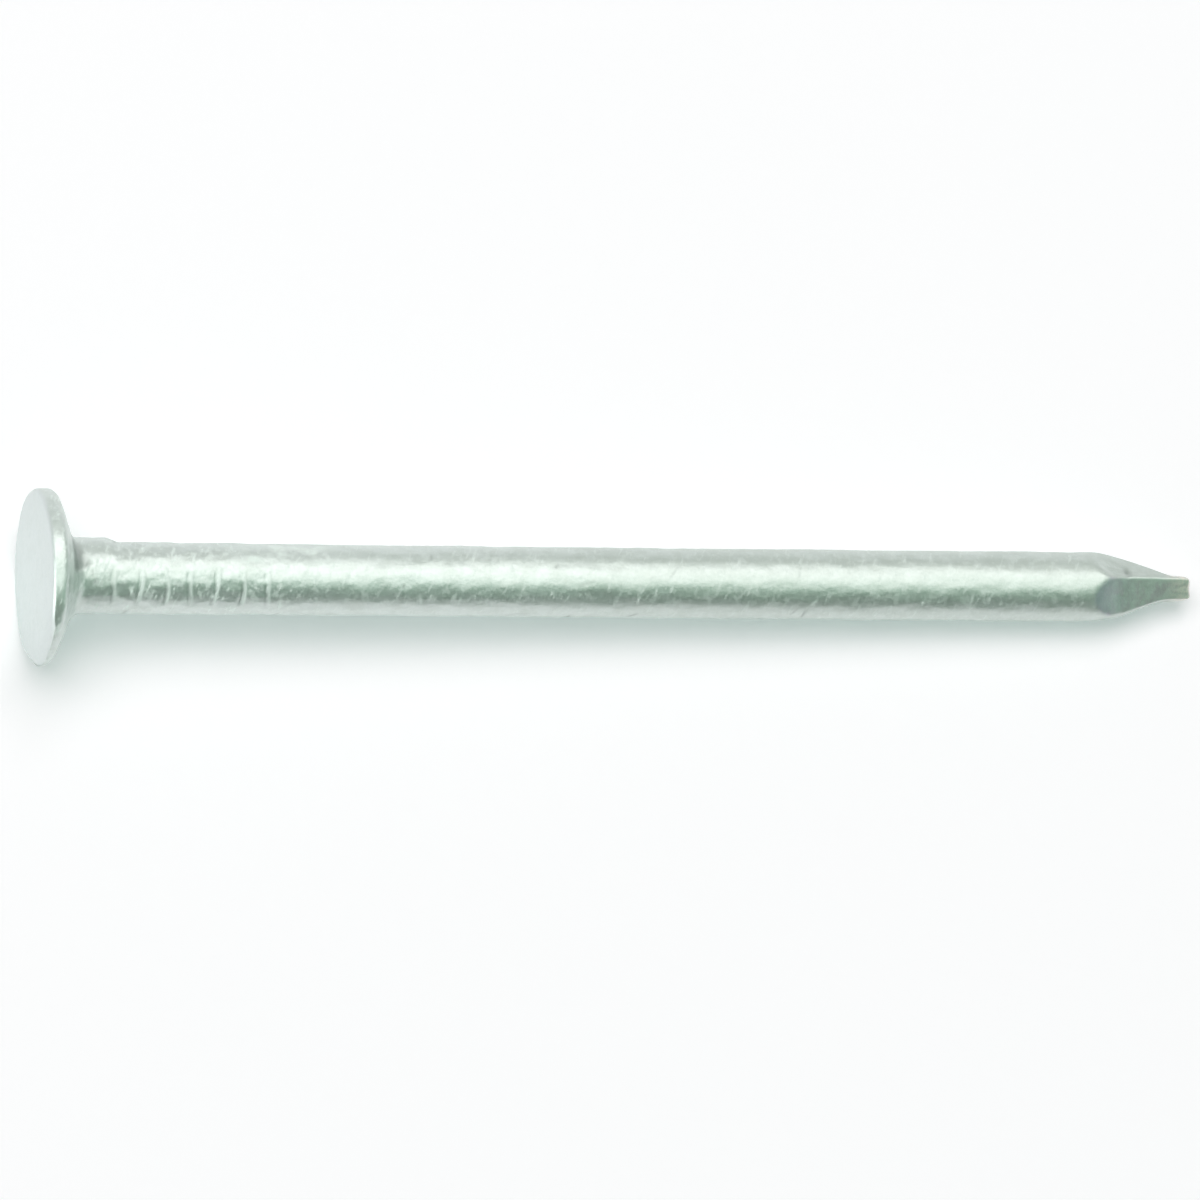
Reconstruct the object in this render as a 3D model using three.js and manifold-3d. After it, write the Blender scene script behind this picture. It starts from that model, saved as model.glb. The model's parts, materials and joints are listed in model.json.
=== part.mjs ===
// A round wire nail with a flat head and a blunt diamond point, coated by hot dipping in zinc.
// It lies as it would on a table, on the rim of its head and on the shoulder where the point begins.
// Two solids: the forged steel blank, and the zinc skin around it, which is open at the cut end of the point.
import * as THREE from 'three';
import { mergeVertices } from 'three/addons/utils/BufferGeometryUtils.js';
import Module from 'manifold-3d';

// Driving dimensions, in millimetres, over the zinc.
const LENGTH = 44.45; // 1 3/4 in, from the face of the head to the end of the point
const WIRE_DIAMETER = 2.49; // bare steel wire, 0.098 in
const ZINC = 0.06; // thickness of the coating
const ALLOY_GAP = 0.01; // the hair of iron-zinc alloy between the two solids, left empty
const HEAD_DIAMETER = 6.58;
const RIM_BACK = 0.4; // how far behind the face the straight rim of the head ends
const RIM_FRONT_ROUND = 0.17; // radius of the rim's front edge
const RIM_BACK_ROUND = 0.28; // radius of the rim's back edge
const UNDERSIDE_SLOPE = 23; // degrees by which the underside of the head slopes back
const NECK_FILLET = 0.55; // radius of the hollow between the underside and the shank
const GRIP_COUNT = 7; // ridges that the gripping dies leave under the head
const GRIP_FIRST = 2.85; // from the face of the head to the first ridge
const GRIP_PITCH = 0.965;
const GRIP_WIDTH = 0.2;
const GRIP_HEIGHT = 0.03;
const POINT_LENGTH = 3.75;

// The point is pinched by two notched knives. Each makes two facets, and a narrow one lies on the line
// where the knives meet. turn is a facet's direction around the shank, in degrees from straight up, and
// reach is how far it lies from the axis at the end of the point. Each has a twin on the opposite side.
const FACETS = [
  { turn: -31, reach: 0.28 },
  { turn: 39, reach: 0.5 },
  { turn: 89, reach: 0.3 },
];

const SIDES = 32; // flats around the nail
const ARC_STEPS = 3; // segments in each rounded corner of the outline
const WELD_DISTANCE = 1e-5; // corners closer together than this are one corner
const CUT_MARGIN = 1; // how far the knives and the cavity run past what they cut

const shankRadius = WIRE_DIAMETER / 2 + ZINC;
const headRadius = HEAD_DIAMETER / 2;
const slope = THREE.MathUtils.degToRad(UNDERSIDE_SLOPE);

// Points on an arc in the outline's plane, where x is the radius and y the distance behind the face.
// Angles are in radians from the x axis.
function arc(centre, radius, from, to, steps = ARC_STEPS) {
  const points = [];
  for (let i = 0; i <= steps; i++) {
    const angle = from + ((to - from) * i) / steps;
    const spoke = new THREE.Vector2(Math.cos(angle), Math.sin(angle));
    points.push(centre.clone().addScaledVector(spoke, radius));
  }
  return points;
}

// Half of the nail's section, from the face to an end square with the axis. depth is how far the outline
// lies inside the zinc's outer surface.
function outline(depth, end) {
  const normal = Math.PI / 2 - slope; // direction of the underside's normal
  const frontCentre = new THREE.Vector2(headRadius - RIM_FRONT_ROUND, RIM_FRONT_ROUND);
  const backCentre = new THREE.Vector2(headRadius - RIM_BACK_ROUND, RIM_BACK);
  const neckX = shankRadius + NECK_FILLET;
  const across = (backCentre.x - neckX) * Math.sin(slope) + RIM_BACK_ROUND + NECK_FILLET;
  const neckCentre = new THREE.Vector2(neckX, RIM_BACK + across / Math.cos(slope));
  const radius = shankRadius - depth;
  const points = [
    new THREE.Vector2(0, depth),
    ...arc(frontCentre, RIM_FRONT_ROUND - depth, -Math.PI / 2, 0),
    ...arc(backCentre, RIM_BACK_ROUND - depth, 0, normal),
    ...arc(neckCentre, NECK_FILLET + depth, Math.PI + normal, Math.PI),
  ];
  for (let i = 0; i < GRIP_COUNT; i++) {
    const middle = GRIP_FIRST + i * GRIP_PITCH;
    points.push(new THREE.Vector2(radius, middle - GRIP_WIDTH / 2));
    points.push(new THREE.Vector2(radius + GRIP_HEIGHT, middle));
    points.push(new THREE.Vector2(radius, middle + GRIP_WIDTH / 2));
  }
  points.push(new THREE.Vector2(radius, end));
  points.push(new THREE.Vector2(0, end));
  return points;
}

const wasm = await Module();
wasm.setup();

// A closed three.js geometry as a solid that can be cut. Triangles that close up to a line at the axis
// are left out.
function toSolid(geometry) {
  const bare = geometry.clone();
  bare.deleteAttribute('normal');
  bare.deleteAttribute('uv');
  const merged = mergeVertices(bare, WELD_DISTANCE);
  const triangles = [];
  for (let i = 0; i < merged.index.count; i += 3) {
    const corners = [0, 1, 2].map((k) => merged.index.getX(i + k));
    if (new Set(corners).size === 3) {
      triangles.push(...corners);
    }
  }
  return new wasm.Manifold(
    new wasm.Mesh({
      numProp: 3,
      vertProperties: new Float32Array(merged.attributes.position.array),
      triVerts: new Uint32Array(triangles),
    }),
  );
}

function toGeometry(solid) {
  const mesh = solid.getMesh();
  const geometry = new THREE.BufferGeometry();
  geometry.setAttribute('position', new THREE.BufferAttribute(mesh.vertProperties, mesh.numProp));
  geometry.setIndex(new THREE.BufferAttribute(mesh.triVerts, 1));
  geometry.computeVertexNormals();
  return geometry;
}

// The space that one knife clears at the point: a block whose underside is the facet.
function knife(turn, reach, depth) {
  const taper = Math.atan2(shankRadius - reach, POINT_LENGTH);
  const size = 2 * POINT_LENGTH;
  const block = new THREE.BoxGeometry(size + CUT_MARGIN, size, size);
  block.translate(0, 0, size / 2 - depth);
  block.rotateY(taper);
  block.translate(LENGTH, 0, reach);
  block.rotateX(THREE.MathUtils.degToRad(-turn));
  return toSolid(block);
}

// The nail's solid at a depth below the zinc's surface, along +X from the face of the head at x = 0.
function nailSolid(depth, end) {
  const turned = new THREE.LatheGeometry(outline(depth, end), SIDES, Math.PI / SIDES);
  turned.rotateZ(-Math.PI / 2);
  let solid = toSolid(turned);
  for (const { turn, reach } of FACETS) {
    solid = solid.subtract(knife(turn, reach, depth));
    solid = solid.subtract(knife(turn + 180, reach, depth));
  }
  return solid;
}

function steelBlank() {
  const material = new THREE.MeshStandardMaterial({ color: 0x8d8378, roughness: 0.55, metalness: 1 });
  const mesh = new THREE.Mesh(toGeometry(nailSolid(ZINC + ALLOY_GAP, LENGTH)), material);
  mesh.name = 'steel_blank';
  return mesh;
}

function zincCoating() {
  const skin = nailSolid(0, LENGTH).subtract(nailSolid(ZINC, LENGTH + CUT_MARGIN));
  const material = new THREE.MeshStandardMaterial({ color: 0xc3cfc9, roughness: 0.38, metalness: 1 });
  const mesh = new THREE.Mesh(toGeometry(skin), material);
  mesh.name = 'zinc_coating';
  return mesh;
}

// The nail tips over its head's rim until the shoulder of the point touches the surface it lies on.
function lieDown(nail) {
  const flat = Math.cos(Math.PI / SIDES); // a flat's distance from the axis, over the corner radius
  const shoulder = LENGTH - POINT_LENGTH;
  nail.rotation.y = Math.atan2((headRadius - shankRadius) * flat, shoulder - RIM_BACK);
  const box = new THREE.Box3().setFromObject(nail, true);
  nail.position.x = -(box.min.x + box.max.x) / 2;
  nail.position.z = -box.min.z;
}

const nail = new THREE.Group();
nail.add(steelBlank(), zincCoating());
lieDown(nail);

const part = new THREE.Group();
part.add(nail);

export default part;
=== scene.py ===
# The looks of a zinc-coated round wire nail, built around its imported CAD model.
# Places come from the frame. The nail's own sizes are in millimetres, measured along and around it, and
# the table's, the lamps' and the camera's are in metres.
import json
import math

import bpy
import numpy as np
from mathutils import Matrix, Vector, noise


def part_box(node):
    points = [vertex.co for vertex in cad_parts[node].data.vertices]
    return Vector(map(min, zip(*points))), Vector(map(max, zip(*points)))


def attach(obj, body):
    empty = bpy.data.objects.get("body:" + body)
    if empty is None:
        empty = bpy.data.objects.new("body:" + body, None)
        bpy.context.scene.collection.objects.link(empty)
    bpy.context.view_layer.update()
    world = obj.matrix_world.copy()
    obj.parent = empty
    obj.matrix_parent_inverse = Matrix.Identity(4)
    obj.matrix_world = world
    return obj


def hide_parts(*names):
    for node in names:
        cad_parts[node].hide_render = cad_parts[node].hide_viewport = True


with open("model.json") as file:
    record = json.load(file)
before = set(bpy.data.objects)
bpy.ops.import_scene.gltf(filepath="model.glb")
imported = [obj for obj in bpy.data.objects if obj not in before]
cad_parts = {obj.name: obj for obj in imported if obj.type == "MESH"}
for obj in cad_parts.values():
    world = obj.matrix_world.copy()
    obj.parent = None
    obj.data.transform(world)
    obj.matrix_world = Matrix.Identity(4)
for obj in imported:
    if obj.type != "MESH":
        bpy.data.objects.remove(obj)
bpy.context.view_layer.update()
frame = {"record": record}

MM = 0.001

# The nail's outline, close to the CAD model's: from the face of the head (along = 0) to the cut end.
ZINC = 0.06
ALLOY_GAP = 0.01
RIM_BACK = 0.37
RIM_FRONT_ROUND = 0.16
RIM_BACK_ROUND = 0.32
UNDERSIDE_SLOPE = math.radians(23)
NECK_FILLET = 0.55
SHANK_RADIUS = 2.49 / 2 + ZINC
CAD_SIDES = 32  # flats around the CAD model's nail
GRIP_COUNT = 7
GRIP_FIRST = 2.85
GRIP_PITCH = 0.965
POINT_LENGTH = 4.0
END_ROUND = 0.21  # the zinc rounds the corners of the cut end

# The facets of the point: direction in degrees from straight up, and the distance of the facet from the axis
# at some distances from the cut end. The knives bite steeply at first and flatter near the end.
FRONT_FACET = ((0, 0.27), (2.9, 0.86), (4.02, SHANK_RADIUS))
UPPER_FACET = ((0, 0.53), (3.3, 1.04), (3.93, SHANK_RADIUS))
BACK_FACET = ((0, 0.36), (0.85, 0.38), (2.05, 0.87), (3.5, SHANK_RADIUS))
LOWER_FACET = ((0, 0.42), (1.15, 0.53), (2.7, 1.08), (3.8, SHANK_RADIUS))
FACETS = ((-31, FRONT_FACET), (149, FRONT_FACET), (39, UPPER_FACET), (-141, UPPER_FACET),
          (89, BACK_FACET), (-91, LOWER_FACET))

RIDGE_SHARPNESS = 26  # higher leaves crisper ridges between the facets
BEND_EASING = 0.15  # how far the bends in a facet are spread along the nail
POINT_MARGIN = 0.5  # the knives' first touch can lie this far before the point

# Marks of making and of handling. A turn is a direction around the nail, from straight up towards the far
# side. A pair of places along the nail says where a mark is gone and where it has its full strength.
WAVE_HEIGHT = 0.02  # wide lumps of frozen zinc
WAVE_FINENESS = 0.9
KNOB_HEIGHT = 0.02  # small lumps
KNOB_FINENESS = 2.6
KNOBS_CALM = (12, 7)  # where the knobs have got lower, and where they start to
RIDGE_HEIGHT = 0.026  # left by the gripping dies
RIDGE_WIDTH = 0.045
RIDGE_TURN = math.radians(-29)  # the middle of the ridges on the near side
GROOVE_DEPTH = 0.034
GROOVE_WIDTH = 0.055
GROOVE_OFFSET = -0.15  # from the ridge, towards the head
NECK_ENDS = (1.2, 1.7)  # the dies' marks on the shank stop at the neck
COLLAR_HEIGHT = 0.155
COLLAR_TURN = math.radians(75)
COLLAR_ENDS = (3.15, 2.62)
SQUEEZE = 0.034
SQUEEZE_TURN = math.radians(54)
SQUEEZE_ENDS = (11, 6)
NECK_DENT_DEPTH = 0.04
NECK_DENT_TURN = 11  # degrees
SMEARS_START = (6.6, 8)
SMEARS_END = (11.8, 10.4)
NICK_DEPTH = 0.05
NICK_TO_END = 2.65
NICK_LENGTH = 0.17
NICK_TURN = math.radians(24)
NICK_SPREAD = 0.24  # radians
SCRATCH_COUNT = 170
SCRATCH_HEIGHT = 0.011
SCRATCH_REACH = (0.08, 0.32)
SCRATCH_WIDTH = (0.04, 0.07)
SCRATCH_SLANT = (62, 20)  # mean and spread, in degrees from the nail's length
SMEAR_SHARE = 0.6  # of the scratches. The others are grooves.
BULGE = 0.09  # of the sheared steel at the cut end

# How far the head and the cut end are out of true.
HEAD_TILT = math.radians(1.1)
RIM_TILT = math.radians(0.5)
HEAD_THINNING = 0.08
HEAD_WEAR = 0.13
HEAD_END = 1.3  # the head's lean dies out around here
END_SKEW = 0.18

SIDES = 128  # mesh columns around the zinc
STEEL_SIDES = 72
CORNER_STEPS = 6  # rings round the corner of the cut end
GRIP_STEP = 0.05  # between rings of the mesh, where the ridges need a fine one
SHANK_STEP = 0.08
POINT_RINGS = 96


def mount(name):
    """A mount's place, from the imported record."""
    found = next(m for m in frame["record"]["mounts"] if m["name"] == name)
    return Vector(found["pos_m"])


FACE = mount("striking_face")
TIP = mount("point_end")
AXIS = (TIP - FACE).normalized()
LENGTH = (TIP - FACE).length / MM
POINT_START = LENGTH - POINT_LENGTH
SIDE = Vector((0, 1, 0))
UP = AXIS.cross(SIDE)
zinc_low, zinc_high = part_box("zinc_coating")
HEAD_RADIUS = (zinc_high[1] - zinc_low[1]) / 2 / MM / math.cos(math.pi / CAD_SIDES)


# ---------------------------------------------------------------- shape

def arc(centre, radius, start, end, steps):
    """Points (radius, along) on an arc of the outline."""
    turn = np.linspace(start, end, steps + 1)
    return np.stack([centre[0] + radius * np.cos(turn), centre[1] + radius * np.sin(turn)], 1)


def between(a, b, count):
    """Points strictly between two points of the outline."""
    share = np.linspace(0, 1, count + 1)[1:-1, None]
    return np.asarray(a) * (1 - share) + np.asarray(b) * share


def outline(depth, fine):
    """Half of the section of the head, from the axis to the end of the neck, at a depth under the zinc.
    fine multiplies the number of points."""
    normal = math.pi / 2 - UNDERSIDE_SLOPE
    front = (HEAD_RADIUS - RIM_FRONT_ROUND, RIM_FRONT_ROUND)
    back = (HEAD_RADIUS - RIM_BACK_ROUND, RIM_BACK)
    neck_x = SHANK_RADIUS + NECK_FILLET
    across = (back[0] - neck_x) * math.sin(UNDERSIDE_SLOPE) + RIM_BACK_ROUND + NECK_FILLET
    neck = (neck_x, RIM_BACK + across / math.cos(UNDERSIDE_SLOPE))
    flat = np.linspace(0, front[0], 8 * fine + 1)[1:-1]
    face = np.stack([flat, np.full(len(flat), depth)], 1)
    rim_front = arc(front, RIM_FRONT_ROUND - depth, -math.pi / 2, 0, 2 * fine)
    rim_back = arc(back, RIM_BACK_ROUND - depth, 0, normal, 2 * fine)
    hollow = arc(neck, NECK_FILLET + depth, math.pi + normal, math.pi, 4 * fine)
    rim = between(rim_front[-1], rim_back[0], fine)
    underside = between(rim_back[-1], hollow[0], 4 * fine)
    return np.concatenate([face, rim_front, rim, rim_back, underside, hollow])


def facet_distance(profile, to_end):
    """How far a facet lies from the axis, with its bends eased."""
    ends, distances = zip(*profile)
    eased = to_end + np.linspace(-BEND_EASING, BEND_EASING, 5)
    rise = 0.4 * np.maximum(eased - ends[-1], 0)  # clear of the shank before the facet starts
    return (np.interp(eased, ends, distances) + rise).mean()


def section(radius, along, around):
    """The nail's radius at each angle, where the facets of the point have cut the shank."""
    to_end = LENGTH - along
    total = radius ** -RIDGE_SHARPNESS * np.ones_like(around)
    for degrees, profile in FACETS:
        distance = facet_distance(profile, to_end) - (SHANK_RADIUS - radius)
        facing = np.cos(around - math.radians(degrees))
        total += (max(distance, 0.02) / np.maximum(facing, 1e-3)) ** -RIDGE_SHARPNESS
    return total ** (-1 / RIDGE_SHARPNESS)


def ring(radius, along, sides):
    """One ring of the mesh in nail coordinates: along the axis, to the side and up."""
    around = np.arange(sides) * 2 * math.pi / sides
    if along > POINT_START - POINT_MARGIN:
        radius = section(radius, along, around)
    return np.stack([np.full(sides, along), radius * np.sin(around), radius * np.cos(around)], 1)


def place(points):
    """Nail coordinates in millimetres to the row frame in metres."""
    basis = np.array([AXIS, SIDE, UP])
    return np.array(FACE) + (points @ basis) * MM


def closed_mesh(name, rings):
    """A closed mesh through rings of equal size, with a point at each end: rings is (count, sides, 3)."""
    count, sides, _ = rings.shape
    points = np.concatenate([[rings[0].mean(0)], rings.reshape(-1, 3), [rings[-1].mean(0)]])
    last = len(points) - 1
    faces = []
    for side in range(sides):
        following = (side + 1) % sides
        faces.append((0, 1 + following, 1 + side))
        for row in range(count - 1):
            a = 1 + row * sides
            b = a + sides
            faces.append((a + side, a + following, b + following, b + side))
        a = 1 + (count - 1) * sides
        faces.append((a + side, a + following, last))
    mesh = bpy.data.meshes.new(name)
    mesh.from_pydata(place(points).tolist(), [], faces)
    mesh.validate()
    mesh.update()
    mesh.shade_smooth()
    return mesh


def zinc_rings():
    """The outside of the coating from the face to the cut end, as a list of (radius, along)."""
    head = outline(0, 3)
    neck_end = head[-1][1]
    grips = np.arange(neck_end + GRIP_STEP, GRIP_FIRST + GRIP_COUNT * GRIP_PITCH, GRIP_STEP)
    shank = np.arange(grips[-1] + GRIP_STEP, POINT_START - 0.2, SHANK_STEP)
    point = np.linspace(shank[-1] + GRIP_STEP, LENGTH - END_ROUND, POINT_RINGS)
    along = np.concatenate([grips, shank, point])
    straight = np.stack([np.full(len(along), SHANK_RADIUS), along], 1)
    return np.concatenate([head, straight])


def fade(value, start, end):
    """0 before start and 1 after end, eased between. With start beyond end it runs the other way."""
    share = np.clip((value - start) / (end - start), 0, 1)
    return share * share * (3 - 2 * share)


def angle_of(points):
    """The direction of points around the nail, in radians from straight up towards the far side."""
    return np.arctan2(points[:, 1], points[:, 2])


def knob_strength(along):
    """The coating is lumpiest where the dies gripped the wire, and calmer towards the point."""
    return 0.6 + 0.4 * fade(along, *KNOBS_CALM)


def lumps(points):
    """How far the frozen zinc stands out at points in nail coordinates, in millimetres."""
    out = np.empty(len(points))
    strength = knob_strength(points[:, 0])
    for i, (x, y, z) in enumerate(points):
        spot = Vector((x * 0.6, y, z))
        waves = noise.fractal(spot * WAVE_FINENESS, 1.0, 2.0, 2)
        knobs = noise.fractal(spot * KNOB_FINENESS + Vector((7, 3, 1)), 0.9, 2.0, 2)
        out[i] = WAVE_HEIGHT * waves + KNOB_HEIGHT * strength[i] * knobs
    flat_face = fade(points[:, 0], 0.3, 0.05)
    return out * (1 - 0.6 * flat_face)


def grip_lines(points, width, shift=0.0):
    """1 on the crests of the ridges that the gripping dies left across two sides of the shank.
    shift moves the lines along the shank."""
    along = points[:, 0]
    around = angle_of(points)
    out = np.zeros(len(points))
    gripped = fade(abs(np.cos(around - RIDGE_TURN)), 0.8, 0.93)
    for i in range(GRIP_COUNT):
        wander = 0.05 * np.sin(around * 2 + i * 1.7) + 0.03 * np.sin(around * 5 + i * 2.3)
        middle = GRIP_FIRST + i * GRIP_PITCH + wander + shift
        strength = 0.8 + 0.2 * np.sin(around * 2 + i * 2.1)
        out += strength * np.exp(-(((along - middle) / width) ** 2))
    return out * gripped


def grip_grooves(points):
    """1 in the groove before each ridge, on the side that faces up and forward, and 0 elsewhere."""
    turn = np.degrees(angle_of(points))
    return grip_lines(points, 0.05, GROOVE_OFFSET) * fade(turn, -14, -24)


def grip_marks(points):
    """The ridges under the head, each with a shallow groove before it, in millimetres."""
    grooves = grip_lines(points, GROOVE_WIDTH, GROOVE_OFFSET)
    return RIDGE_HEIGHT * grip_lines(points, RIDGE_WIDTH) - GROOVE_DEPTH * grooves


def scratches(points):
    """Slanting marks from tumbling among other nails: up to 1 on a smear of zinc, down to -1 in a groove."""
    draw = np.random.default_rng(5)
    along = points[:, 0]
    around = angle_of(points) * SHANK_RADIUS
    girth = 2 * math.pi * SHANK_RADIUS
    out = np.zeros(len(points))
    for _ in range(SCRATCH_COUNT):
        middle = 1.9 + (LENGTH - 4.5) * draw.random() ** 1.6
        turn = girth * (draw.random() - 0.5)
        slant = math.radians(draw.normal(*SCRATCH_SLANT))
        reach = draw.uniform(*SCRATCH_REACH)
        width = draw.uniform(*SCRATCH_WIDTH)
        depth = draw.uniform(0.4, 1) * (1 if draw.random() < SMEAR_SHARE else -1)
        across = (around - turn + girth / 2) % girth - girth / 2
        ahead = along - middle
        lengthwise = ahead * math.cos(slant) + across * math.sin(slant)
        sideways = across * math.cos(slant) - ahead * math.sin(slant)
        mark = np.exp(-((sideways / width) ** 2) - (lengthwise / reach) ** 4)
        out = np.where(mark > abs(out), depth * mark, out)
    return out


def collar(points):
    """The shank is a little proud on one side between the neck and the edge of the gripping dies."""
    along = points[:, 0]
    side = np.clip(np.cos(angle_of(points) - COLLAR_TURN), 0, 1) ** 1.5
    return COLLAR_HEIGHT * side * fade(along, *COLLAR_ENDS) * fade(along, *NECK_ENDS)


def squeeze(points):
    """The gripping dies leave the shank slightly oval under the head."""
    oval = np.cos(2 * (angle_of(points) - SQUEEZE_TURN))
    return SQUEEZE * oval * fade(points[:, 0], *SQUEEZE_ENDS) * fade(points[:, 0], *NECK_ENDS)


def neck_dent(points):
    """A pointed dent in the hollow under the head, on the upper side: 1 in its middle and 0 outside."""
    along = points[:, 0]
    turn = np.degrees(angle_of(points)) - NECK_DENT_TURN
    off = np.where(turn > 0, turn / 60, -turn / 20)  # 0 at the dent's point, and 1 at its edges
    return fade(along, 0.95, 1.25) * fade(along + 0.85 * off, 2.1, 1.7) * fade(off, 1.1, 0.65)


def thick_smears(points):
    """1 where the coating was dragged into thick smears, near the grips, and 0 elsewhere."""
    along = points[:, 0]
    turn = np.degrees(angle_of(points))
    lengthwise = fade(along, *SMEARS_START) * fade(along, *SMEARS_END)
    return lengthwise * fade(turn, 8, 22) * fade(turn, 72, 55)


def facet_dent(points):
    """A nick in the upper facet of the point."""
    lengthwise = (points[:, 0] - (LENGTH - NICK_TO_END)) / NICK_LENGTH
    sideways = (angle_of(points) - NICK_TURN) / NICK_SPREAD
    return np.exp(-np.hypot(lengthwise, sideways) ** 2)


def cut_by_knives(points):
    """1 on the facets of the point and 0 on the round of the shank."""
    radial = np.hypot(points[:, 1], points[:, 2])
    return fade(SHANK_RADIUS - radial, 0.01, 0.07) * (points[:, 0] > POINT_START - POINT_MARGIN)


def lean(points):
    """The head is upset out of square, thinner and more worn on the near side and not quite round, and the
    end is cut askew."""
    points = points.copy()
    radial = np.hypot(points[:, 1], points[:, 2])
    around = angle_of(points)
    share = 1 / (1 + np.exp((points[:, 0] - HEAD_END) / 0.12))  # 1 in the head and 0 in the shank
    behind = fade(points[:, 0], 0.05, 0.35)
    tilt = HEAD_TILT * (2 * behind - 1) - RIM_TILT * behind
    outward = radial / HEAD_RADIUS
    nearness = -points[:, 1] / HEAD_RADIUS
    thinned = HEAD_THINNING * behind * np.clip(nearness, 0, 1) * outward ** 2
    towards_edge = fade(outward, 0.78, 1) * fade(nearness, 0.5, 0.95)
    worn = HEAD_WEAR * (1 - behind) * towards_edge
    points[:, 0] += share * (tilt * points[:, 1] - thinned + worn)
    points[:, 0] -= END_SKEW * points[:, 1] * fade(points[:, 0], LENGTH - 1.5, LENGTH - 0.1)
    rim = 0.012 * np.sin(2 * around + 0.6) + 0.008 * np.sin(3 * around + 2.0) + 0.006 * np.sin(7 * around)
    stretch = 1 + share * rim * outward ** 2
    points[:, 1] *= stretch
    points[:, 2] *= stretch
    return points


def normals_of(rings):
    """Outward normals of a grid of rings."""
    around = np.roll(rings, -1, 1) - np.roll(rings, 1, 1)
    onward = np.empty_like(rings)
    onward[1:-1] = rings[2:] - rings[:-2]
    onward[0] = rings[1] - rings[0]
    onward[-1] = rings[-1] - rings[-2]
    normal = np.cross(onward, around)
    return normal / np.maximum(np.linalg.norm(normal, axis=2, keepdims=True), 1e-12)


def end_lip(last, corner):
    """Rings after the last one, round the corner of the cut end. corner is the corner's radius."""
    middle = last.mean(0)
    radius = np.linalg.norm((last - middle)[:, 1:], axis=1)[:, None]
    rings = []
    for turn in np.linspace(0, math.pi / 2, CORNER_STEPS + 1)[1:]:
        step = middle + (last - middle) * (1 - corner * (1 - math.cos(turn)) / radius)
        step[:, 0] = last[:, 0] + corner * math.sin(turn)
        rings.append(step)
    return rings


def paint(mesh, name, values, hidden):
    """A value for each point of the mesh, for its material to read. The corner of the cut end repeats the
    last ring, and the points of the inner wall, as many as hidden says, get 0."""
    layer = mesh.attributes.new(name, "FLOAT", "POINT")
    corner = np.tile(values[-SIDES:], CORNER_STEPS)
    layer.data.foreach_set("value", np.concatenate([[values[0]], values, corner, np.zeros(hidden)]))


def inner_wall(depth, sides):
    """Smooth rings at a depth under the zinc, from the face of the head to the start of the end's corner."""
    line = [tuple(p) for p in outline(depth, 1)]
    line += [(SHANK_RADIUS - depth, s) for s in np.linspace(2.2, POINT_START - 1, 6)]
    line += [(SHANK_RADIUS - depth, s) for s in np.linspace(POINT_START, LENGTH - END_ROUND, 12)]
    return [ring(r, s, sides) for r, s in line]


def make_zinc():
    """The coating: its outside with every mark on it, and a smooth inner wall against the steel."""
    outer = np.stack([ring(r, s, SIDES) for r, s in zinc_rings()])
    flat = outer.reshape(-1, 3)
    cut = cut_by_knives(flat)
    scratched = scratches(flat) * (1 - cut)
    height = lumps(flat) + grip_marks(flat) + collar(flat) + squeeze(flat)
    height += SCRATCH_HEIGHT * scratched - NECK_DENT_DEPTH * neck_dent(flat) - NICK_DEPTH * facet_dent(flat)
    outer = outer + normals_of(outer) * height.reshape(len(outer), SIDES, 1)
    lip = end_lip(outer[-1], END_ROUND)
    inner = inner_wall(ZINC, SIDES)
    inner += end_lip(inner[-1], END_ROUND - ZINC)
    rings = np.concatenate([outer, lip, inner[::-1]])
    rings = lean(rings.reshape(-1, 3)).reshape(rings.shape)
    mesh = closed_mesh("zinc_skin", rings)
    hidden = len(inner) * SIDES + 1
    along = flat[:, 0]
    paint(mesh, "matte", np.clip(grip_lines(flat, 0.05) + 0.6 * scratched, 0, 1), hidden)
    paint(mesh, "smeared", thick_smears(flat), hidden)
    # Painted shade: the dents, the grooves before the grips and the grooves of the scratches are painted
    # darker, where shade falls in them.
    painted_shade = neck_dent(flat) + facet_dent(flat) + 0.8 * grip_grooves(flat) + np.clip(-scratched, 0, 1)
    paint(mesh, "painted_shade", np.clip(painted_shade, 0, 1), hidden)
    paint(mesh, "face", fade(along, 0.16, 0.06), hidden)
    paint(mesh, "cut", cut, hidden)
    paint(mesh, "pinched", cut * fade(np.cos(2 * angle_of(flat) + math.radians(62)), 0.1, 0.4), hidden)
    paint(mesh, "worn_end", fade(along, LENGTH - 1.3, LENGTH - 0.1), hidden)
    piece = bpy.data.objects.new("zinc_skin", mesh)
    bpy.context.scene.collection.objects.link(piece)
    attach(piece, "root")
    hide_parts("zinc_coating")
    mesh.materials.append(zinc_material())


def make_steel():
    """The blank under the coating, which shows at the cut end, where it bulges a little."""
    depth = ZINC + ALLOY_GAP
    rings = inner_wall(depth, STEEL_SIDES)
    rings += end_lip(rings[-1], END_ROUND - depth)
    rim = rings[-1]
    middle = rim.mean(0)
    for share in (0.95, 0.85, 0.7, 0.5, 0.3, 0.12):
        step = middle + (rim - middle) * share
        bumps = np.array([noise.noise(Vector(p) * 6.0) for p in step])
        step[:, 0] += (BULGE + 0.015 * bumps) * fade(share, 1.05, 0.45)
        rings.append(step)
    rings = np.stack(rings)
    rings = lean(rings.reshape(-1, 3)).reshape(rings.shape)
    mesh = closed_mesh("steel_core", rings)
    piece = bpy.data.objects.new("steel_core", mesh)
    bpy.context.scene.collection.objects.link(piece)
    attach(piece, "root")
    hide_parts("steel_blank")
    mesh.materials.append(steel_material())


# ---------------------------------------------------------------- materials

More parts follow.
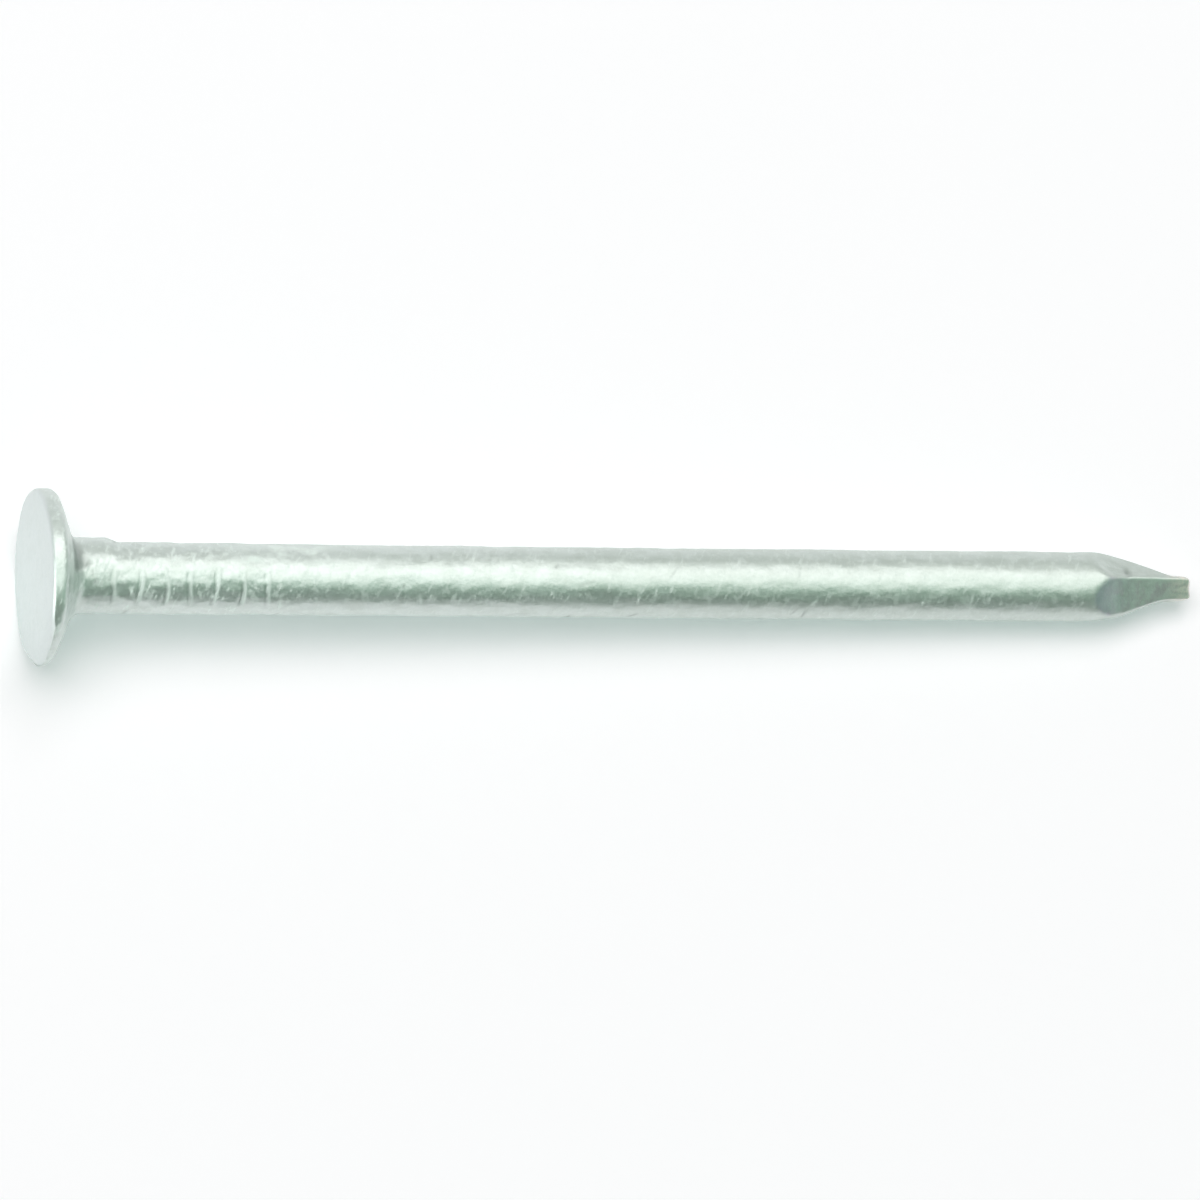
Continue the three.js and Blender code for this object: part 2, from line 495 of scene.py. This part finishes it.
class Nodes:
    """A small helper that adds and joins shader nodes."""

    def __init__(self, name):
        self.material = bpy.data.materials.new(name)
        self.material.use_nodes = True
        self.tree = self.material.node_tree
        self.tree.nodes.clear()
        self.output = self.tree.nodes.new("ShaderNodeOutputMaterial")

    def feed(self, node, inputs):
        """Link each input of a node to a socket, or set it to a number or colour."""
        for key, value in inputs.items():
            if isinstance(value, bpy.types.NodeSocket):
                self.tree.links.new(value, node.inputs[key])
            else:
                node.inputs[key].default_value = value

    def add(self, kind, inputs=None, **settings):
        node = self.tree.nodes.new("ShaderNode" + kind)
        for key, value in settings.items():
            setattr(node, key, value)
        self.feed(node, inputs or {})
        return node

    def scaled(self, scale, slant=0):
        """Object coordinates in millimetres, turned by slant degrees about Z and then stretched by scale."""
        where = self.add("TexCoord").outputs["Object"]
        mapping = self.add("Mapping", {"Vector": where}, vector_type="TEXTURE")
        mapping.inputs["Rotation"].default_value = (0, 0, math.radians(slant))
        mapping.inputs["Scale"].default_value = [MM / s for s in scale]
        return mapping.outputs["Vector"]

    def attribute(self, name):
        return self.add("Attribute", attribute_name=name).outputs["Fac"]

    def noise(self, vector, scale, detail=2.0, roughness=0.5):
        inputs = {"Vector": vector, "Scale": scale, "Detail": detail, "Roughness": roughness}
        return self.add("TexNoise", inputs).outputs["Fac"]

    def remap(self, value, low, high, to_low=0.0, to_high=1.0):
        inputs = {"Value": value, "From Min": low, "From Max": high, "To Min": to_low, "To Max": to_high}
        return self.add("MapRange", inputs).outputs["Result"]

    def math(self, operation, a, b):
        return self.add("Math", {0: a, 1: b}, operation=operation).outputs[0]

    def mix(self, factor, a, b):
        node = self.add("Mix", {0: factor, 6: a, 7: b}, data_type="RGBA")
        return node.outputs[2]

    def finish(self, shader):
        """Join the shader to the output and return the material."""
        self.tree.links.new(shader.outputs[0], self.output.inputs[0])
        return self.material


def zinc_material():
    """Hot-dip zinc: mottled grey and darker towards the point, with chalky smears, a burnished face, painted
    shade in its dents and grooves and a painted reflection on the heels of the knife facets.
    """
    n = Nodes("hot_dip_zinc")
    along = n.add("SeparateXYZ", {0: n.scaled((1, 1, 1))}).outputs[0]
    handled = n.remap(along, -16, -9, 1.0, 0.5)  # the coating is most marked near the head
    cut = n.attribute("cut")
    worn = n.math("MULTIPLY", handled, n.remap(cut, 0, 1, 1, 0.15))
    mottle = n.noise(n.scaled((0.9, 1, 1)), scale=1.6, detail=4.0, roughness=0.6)
    grain = n.noise(n.scaled((1, 1, 1)), scale=9.0, detail=3.0, roughness=0.6)
    patches = n.noise(n.scaled((1.3, 1, 1), slant=-20), scale=3.0, detail=3.0, roughness=0.55)
    blotch = n.remap(patches, 0.53, 0.61)
    smears = n.math("MULTIPLY", n.attribute("smeared"), n.remap(mottle, 0.4, 0.6, 0, 0.9))
    strokes = n.noise(n.scaled((4.5, 1.2, 1.2), slant=-25), scale=1.3, detail=2.0, roughness=0.5)
    rubbed = n.remap(strokes, 0.60, 0.70)
    matte = n.math("ADD", n.math("MULTIPLY", blotch, 0.42), n.math("MULTIPLY", rubbed, 0.7))
    matte = n.math("MULTIPLY", matte, worn)
    matte = n.math("MAXIMUM", matte, n.attribute("matte"))
    matte = n.math("MAXIMUM", matte, smears)
    face = n.attribute("face")
    matte = n.math("MULTIPLY", matte, n.remap(face, 0, 1, 1, 0.3))

    pale = (0.675, 0.735, 0.71, 1)
    dull = (0.59, 0.65, 0.615, 1)
    chalky = (0.90, 0.95, 0.93, 1)
    burnished = (0.68, 0.73, 0.725, 1)
    # The colour of the painted reflection on the heels of the knife facets.
    heel_reflection_blue = (0.44, 0.475, 0.53, 1)
    # The colour of the painted shade in the dents and grooves.
    painted_shade_grey = (0.30, 0.34, 0.32, 1)
    sheared = (0.56, 0.565, 0.57, 1)
    brown = (0.84, 0.80, 0.74, 1)
    # Mottled, and darker towards the point, which dims the highlight there.
    mottle_and_tip_darkening = n.math("ADD", n.remap(mottle, 0.4, 0.65, 0, 0.8), n.remap(along, -8, 4, -0.1, 0.6))
    colour = n.mix(mottle_and_tip_darkening, pale, dull)
    colour = n.mix(n.math("MULTIPLY", matte, 0.8), colour, chalky)
    colour = n.mix(n.math("MULTIPLY", face, n.remap(mottle, 0.3, 0.7, 1, 0.75)), colour, burnished)
    # Painted shade in the dents and grooves.
    colour = n.mix(n.math("MULTIPLY", n.attribute("painted_shade"), 0.65), colour, painted_shade_grey)
    pinched = n.attribute("pinched")
    streaks = n.noise(n.scaled((2, 1, 1)), scale=1.8, detail=3.0, roughness=0.55)
    colour = n.mix(n.math("MULTIPLY", pinched, n.remap(streaks, 0.4, 0.56, 1, 0)), colour, sheared)
    # Painted reflection: where the knife facets start steeply, their heel is painted darker and bluish, as if
    # it mirrored the dim room.
    ragged = n.math("ADD", along, n.math("MULTIPLY", mottle, 2))
    heel_reflection = n.math("MULTIPLY", pinched, n.remap(ragged, 21.0, 19.5))
    colour = n.mix(n.math("MULTIPLY", heel_reflection, n.remap(mottle, 0.3, 0.6, 0.45, 1)), colour, heel_reflection_blue)
    wear = n.math("MULTIPLY", n.attribute("worn_end"), n.remap(grain, 0.35, 0.6, 0.4, 1))
    colour = n.mix(wear, colour, brown)

    rough = n.remap(grain, 0.3, 0.7, 0.36, 0.46)
    rough = n.math("ADD", rough, n.math("MULTIPLY", matte, 0.42))
    height = n.math("ADD", n.math("MULTIPLY", grain, 0.5), n.math("MULTIPLY", mottle, 0.5))
    height = n.math("ADD", height, n.math("MULTIPLY", matte, 0.1))
    bump = n.add("Bump", {"Height": height, "Distance": 0.00003, "Strength": 0.6})
    shader = n.add("BsdfPrincipled", {
        "Base Color": colour, "Metallic": 1.0, "Roughness": rough, "Normal": bump.outputs[0]})
    return n.finish(shader)


def steel_material():
    """Steel as the knives left it: streaked and a little rusty."""
    n = Nodes("sheared_steel")
    blotch = n.noise(n.scaled((1, 1, 1)), scale=5.0, detail=4.0, roughness=0.6)
    shear = n.noise(n.scaled((1, 9, 1)), scale=3.0, detail=2.0, roughness=0.5)
    colour = n.mix(n.remap(blotch, 0.35, 0.65), (0.46, 0.43, 0.39, 1), (0.27, 0.21, 0.16, 1))
    rough = n.remap(shear, 0.3, 0.7, 0.38, 0.62)
    height = n.math("ADD", n.math("MULTIPLY", shear, 0.6), n.math("MULTIPLY", blotch, 0.4))
    bump = n.add("Bump", {"Height": height, "Distance": 0.00002, "Strength": 0.6})
    shader = n.add("BsdfPrincipled", {
        "Base Color": colour, "Metallic": 1.0, "Roughness": rough, "Normal": bump.outputs[0]})
    return n.finish(shader)


def floor_material():
    """A matt pale table that glows faintly, so that shadows on it stay light."""
    n = Nodes("pale_table")
    shader = n.add("BsdfPrincipled", {
        "Base Color": (0.93, 0.93, 0.93, 1), "Roughness": 0.9, "Specular IOR Level": 0.0,
        "Emission Color": (0.225, 0.275, 0.265, 1), "Emission Strength": 1.0})
    return n.finish(shader)


# ---------------------------------------------------------------- stage, light and camera

def make_floor():
    """A square table top, level with the underside of the nail."""
    size = 1.5  # metres from the middle to each edge
    mesh = bpy.data.meshes.new("floor")
    corners = [(-size, -size, 0), (size, -size, 0), (size, size, 0), (-size, size, 0)]
    mesh.from_pydata(corners, [], [(0, 1, 2, 3)])
    floor = bpy.data.objects.new("floor", mesh)
    floor.data.materials.append(floor_material())
    bpy.context.scene.collection.objects.link(floor)


def area_light(name, lean_back, lean_side, distance, size, power, colour, glossy, diffuse):
    """A lamp that looks at the nail. lean_back and lean_side tip it from overhead, in degrees, towards the
    far side and towards the point. glossy and diffuse say whether it is reflected and whether it lights."""
    data = bpy.data.lights.new(name, "AREA")
    data.shape = "RECTANGLE"
    data.size, data.size_y = size
    data.energy = power
    data.color = colour
    lamp = bpy.data.objects.new(name, data)
    direction = Vector((math.tan(math.radians(lean_side)), math.tan(math.radians(lean_back)), 1)).normalized()
    lamp.location = direction * distance
    lamp.rotation_euler = direction.to_track_quat("Z", "Y").to_euler()
    lamp.visible_glossy = glossy
    lamp.visible_diffuse = diffuse
    lamp.visible_camera = False
    bpy.context.scene.collection.objects.link(lamp)


# What the nail reflects, from the front horizon (0) over the zenith (0.5) to the back horizon (1).
WORLD_FRONT_TO_BACK = (
    (0.12, (0.2, 0.255, 0.22)),
    (0.30, (0.37, 0.58, 0.44)),
    (0.44, (0.38, 0.50, 0.42)),
    (0.75, (0.7, 0.735, 0.705)),
    (0.95, (0.64, 0.675, 0.64)),
)


def make_world():
    """A dim room in front of the nail and a paler one behind it. The camera sees it as pale all round."""
    world = bpy.data.worlds.new("studio")
    bpy.context.scene.world = world
    world.use_nodes = True
    tree = world.node_tree
    tree.nodes.clear()
    link = tree.links.new
    where = tree.nodes.new("ShaderNodeTexCoord")
    split = tree.nodes.new("ShaderNodeSeparateXYZ")
    link(where.outputs["Generated"], split.inputs[0])
    height = tree.nodes.new("ShaderNodeMapRange")
    height.inputs["From Min"].default_value = -1
    link(split.outputs["Y"], height.inputs["Value"])
    sides = tree.nodes.new("ShaderNodeValToRGB")
    link(height.outputs[0], sides.inputs[0])
    stops = sides.color_ramp.elements
    for place_on_ramp, colour in WORLD_FRONT_TO_BACK:
        stops.new(place_on_ramp).color = (*colour, 1)
    stops.remove(stops[0])
    stops.remove(stops[-1])
    path = tree.nodes.new("ShaderNodeLightPath")
    fill = tree.nodes.new("ShaderNodeMix")
    fill.data_type = "RGBA"
    link(path.outputs["Is Diffuse Ray"], fill.inputs[0])
    link(sides.outputs[0], fill.inputs[6])
    fill.inputs[7].default_value = (0.19, 0.21, 0.20, 1)
    pale = tree.nodes.new("ShaderNodeMix")
    pale.data_type = "RGBA"
    link(path.outputs["Is Camera Ray"], pale.inputs[0])
    link(fill.outputs[2], pale.inputs[6])
    pale.inputs[7].default_value = (0.97, 0.98, 0.98, 1)
    background = tree.nodes.new("ShaderNodeBackground")
    link(pale.outputs[2], background.inputs["Color"])
    output = tree.nodes.new("ShaderNodeOutputWorld")
    link(background.outputs[0], output.inputs[0])


def make_camera():
    """Nearly overhead, a little towards the head and the front, and rolled to set the nail level."""
    lean_head = math.radians(12.3)
    lean_front = math.radians(11)
    droop = math.radians(0.52)  # how far the nail slopes down to the right in the picture
    distance = 0.52
    frame_width = 0.04465
    to_camera = Vector((-math.tan(lean_head), -math.tan(lean_front), 1)).normalized()
    along = (AXIS - to_camera * AXIS.dot(to_camera)).normalized()
    upward = to_camera.cross(along)
    right = along * math.cos(droop) + upward * math.sin(droop)
    top = to_camera.cross(right)
    aim = FACE + AXIS * (21.57 * MM) - upward * (0.65 * MM)
    data = bpy.data.cameras.new("camera")
    data.sensor_width = 36
    data.lens = 36 * distance / frame_width
    data.clip_start = 0.01
    camera = bpy.data.objects.new("camera", data)
    turn = Matrix((right, top, to_camera)).transposed().to_4x4()
    camera.matrix_world = Matrix.Translation(aim + to_camera * distance) @ turn
    bpy.context.scene.collection.objects.link(camera)
    bpy.context.scene.camera = camera


bpy.context.scene.view_settings.view_transform = "Standard"
make_camera()
make_floor()
make_world()
# The key casts the soft shadow, and the nail reflects the other two.
area_light("key", lean_back=15, lean_side=-10, distance=0.9, size=(0.9, 0.56), power=6.2,
           colour=(1.0, 0.89, 0.93), glossy=False, diffuse=True)
area_light("softbox", lean_back=14, lean_side=0, distance=0.5, size=(1.0, 0.67), power=2.28,
           colour=(1.0, 0.95, 0.955), glossy=True, diffuse=False)
area_light("white_card", lean_back=-49, lean_side=-68, distance=0.5, size=(0.4, 0.4), power=1.1,
           colour=(1.0, 1.0, 1.0), glossy=True, diffuse=False)
make_zinc()
make_steel()
